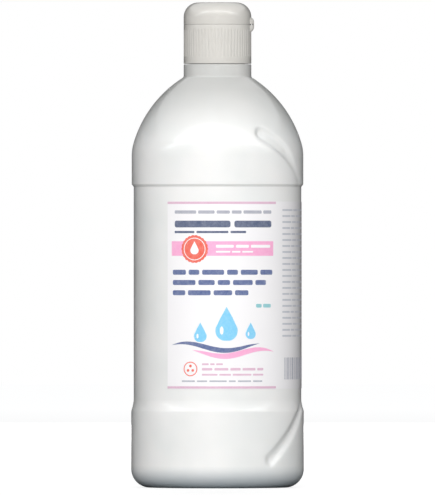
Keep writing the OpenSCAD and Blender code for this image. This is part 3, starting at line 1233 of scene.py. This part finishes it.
# Lamps: name, place (ahead, to the side, up), width, height, watts, whether they shine in the gloss
LAMPS = (
    ("front_softbox", (2.2, -0.04, 0.4), 0.6, 0.8, 36, False),
    ("overhead_tube", (1.1, -0.08, 1.31), 7.8, 0.24, 25, True),
    ("back_softbox", (-2.2, 0, 0.8), 1.2, 1.2, 42, False),
    ("side_softbox", (-0.9, -1.4, 0.5), 0.6, 0.9, 0.8, False),
    ("side_softbox", (-0.9, 1.4, 0.5), 0.6, 0.9, 0.8, False),
)


def area_light(name, place, width, height, watts, shines=True):
    """A soft lamp aimed at the bottle."""
    light = bpy.data.lights.new(name, "AREA")
    light.shape = "RECTANGLE"
    light.size = width
    light.size_y = height
    light.energy = watts
    lamp = bpy.data.objects.new(name, light)
    bpy.context.scene.collection.objects.link(lamp)
    lamp.location = place
    lamp.rotation_euler = (AIM - place).to_track_quat("-Z", "Y").to_euler()
    lamp.visible_camera = False
    lamp.visible_glossy = shines
    return lamp


def sloping_tube(sign):
    """A tube that slopes down at one side and carries the overhead shine round the shoulder."""
    ends = []
    # Where its two ends are seen from the bottle: degrees round from ahead, and above level
    for degrees in ((48, 33), (80, 9)):
        turn, lift = map(math.radians, degrees)
        level = AHEAD * math.cos(turn) + SIDE * sign * math.sin(turn)
        ends.append(level * math.cos(lift) + UP * math.sin(lift))
    high, low = ends
    place = (high + low) * 0.85 + UP * 0.13
    tube = area_light("sloping_tube", place, width=1.1, height=0.16, watts=2.3)
    facing = (place - AIM).normalized()
    along = (low - high - facing * (low - high).dot(facing)).normalized()
    tube.rotation_euler = Matrix((along, facing.cross(along), facing)).transposed().to_euler()


def add_camera(scene):
    """A long lens, level with the middle of the bottle."""
    view_height, eye_height = 0.19904, 0.0965
    data = bpy.data.cameras.new("camera")
    data.lens = 1200
    data.sensor_width = 36
    data.clip_start = 0.1
    data.clip_end = 100
    camera = bpy.data.objects.new("camera", data)
    scene.collection.objects.link(camera)
    camera.location = AHEAD * data.lens * view_height / data.sensor_width + UP * eye_height
    camera.rotation_euler = (math.pi / 2, 0, TURN)
    scene.camera = camera


def seen_directly(nodes):
    """1 for what the camera sees, straight or through gloss and glass; 0 for the light that it gives."""
    path = nodes.add("LightPath").outputs
    seen = path["Is Camera Ray"]
    for name in ("Is Glossy Ray", "Is Transmission Ray"):
        seen = nodes.add("Math", {0: seen, 1: path[name]}, operation="MAXIMUM").outputs[0]
    return seen


def matt(nodes, millimetres, dark, pale):
    """A matt shader with soft patches of two near tones."""
    tone = nodes.mix(nodes.patches(millimetres), srgb(dark), srgb(pale))
    return nodes.add("BsdfDiffuse", {"Color": tone}).outputs[0]


def add_floor():
    """A pale floor that keeps the shadow and shows as white as the backdrop."""
    deselect()
    bpy.ops.mesh.primitive_circle_add(vertices=96, radius=5, fill_type="NGON")
    floor = added("floor")
    edit(floor)
    bpy.ops.mesh.inset(thickness=4.2)
    close()
    nodes = new_material("matt_white_floor")
    diffuse = matt(nodes, 8, "#a6a6a5", "#a3a3a2")
    # The lamps light the floor less far behind the bottle, where its glow makes up for them.
    away = nodes.add("VectorMath", {0: nodes.place}, operation="LENGTH").outputs["Value"]
    near = nodes.stretch(away, 0.2, 1.4, 0.75, 0.85)
    glow = nodes.add("Emission", {"Strength": nodes.stretch(away, 1.4, 3.2, near, 0.955)})
    lit = nodes.add("AddShader", {0: diffuse, 1: glow.outputs[0]}).outputs[0]
    blend = nodes.add("MixShader", {0: seen_directly(nodes), 1: diffuse, 2: lit})
    paint(floor, nodes.end(blend.outputs[0]))


def add_surroundings(scene):
    """White to look at, and a faint cool fill to light with."""
    scene.world = bpy.data.worlds.new("pale_surroundings")
    nodes = ShaderNodes(scene.world)
    fill = nodes.add("Background", {"Color": srgb("#e2ebf5"), "Strength": 0.11})
    white = nodes.add("Background", {"Color": srgb("#ffffff"), "Strength": 1.0})
    inputs = {0: seen_directly(nodes), 1: fill.outputs[0], 2: white.outputs[0]}
    nodes.end(nodes.add("MixShader", inputs).outputs[0], "OutputWorld")


def add_flags():
    """Dark flags all round, seen only in reflections, that give the white bottle its dark rims."""
    height = 1.0
    deselect()
    bpy.ops.mesh.primitive_cylinder_add(
        vertices=64, radius=1.6, depth=height, end_fill_type="NOTHING",
        location=(0, 0, height / 2 + 0.1 * MM),
    )
    flag = added("flag_tray")
    edit(flag)
    pick_rim(flag, lambda middle: middle.z < 0)
    bpy.ops.mesh.edge_face_add()
    close()
    settle(flag)
    nodes = new_material("black_flag_cloth")
    cloth = matt(nodes, 3, "#202020", "#2a2a2a")
    paint(flag, nodes.end(cloth))
    for ray in ("camera", "diffuse", "transmission", "volume_scatter", "shadow"):
        setattr(flag, f"visible_{ray}", False)


class BOTTLE_OT_studio(bpy.types.Operator):
    """Set up the camera, the soft light, the floor and the pale surroundings"""

    bl_idname = "bottle.studio"
    bl_label = "Studio"

    def execute(self, context):
        context.scene.view_settings.view_transform = "Standard"
        add_camera(context.scene)
        for name, (ahead, side, up), width, height, watts, shines in LAMPS:
            place = AHEAD * ahead + SIDE * side + UP * up
            area_light(name, place, width, height, watts, shines)
        for sign in (-1, 1):
            sloping_tube(sign)
        add_floor()
        add_surroundings(context.scene)
        add_flags()
        return {"FINISHED"}


class BOTTLE_PT_panel(bpy.types.Panel):
    """Lists the pieces of the bottle in the sidebar"""

    bl_idname = "BOTTLE_PT_panel"
    bl_label = "Lens solution bottle"
    bl_space_type = "VIEW_3D"
    bl_region_type = "UI"
    bl_category = "Bottle"

    def draw(self, context):
        for operator in OPERATORS:
            self.layout.operator(operator.bl_idname)


OPERATORS = (
    BOTTLE_OT_body,
    BOTTLE_OT_closure_base,
    BOTTLE_OT_closure_lid,
    BOTTLE_OT_living_hinge,
    BOTTLE_OT_inner_pieces,
    BOTTLE_OT_label,
    BOTTLE_OT_studio,
)
GROUPS = {
    "bottle_sizes": BottleSizes,
    "closure_sizes": ClosureSizes,
    "label_sizes": LabelSizes,
    "finishes": Finishes,
}


def register():
    for cls in (*GROUPS.values(), *OPERATORS, BOTTLE_PT_panel):
        bpy.utils.register_class(cls)
    for name, group in GROUPS.items():
        setattr(bpy.types.Scene, name, PointerProperty(type=group))


def unregister():
    for name in GROUPS:
        delattr(bpy.types.Scene, name)
    for cls in reversed((*GROUPS.values(), *OPERATORS, BOTTLE_PT_panel)):
        bpy.utils.unregister_class(cls)


def main():
    register()
    for operator in OPERATORS:
        getattr(bpy.ops.bottle, operator.bl_idname.removeprefix("bottle."))()


if __name__ == "__main__":
    main()
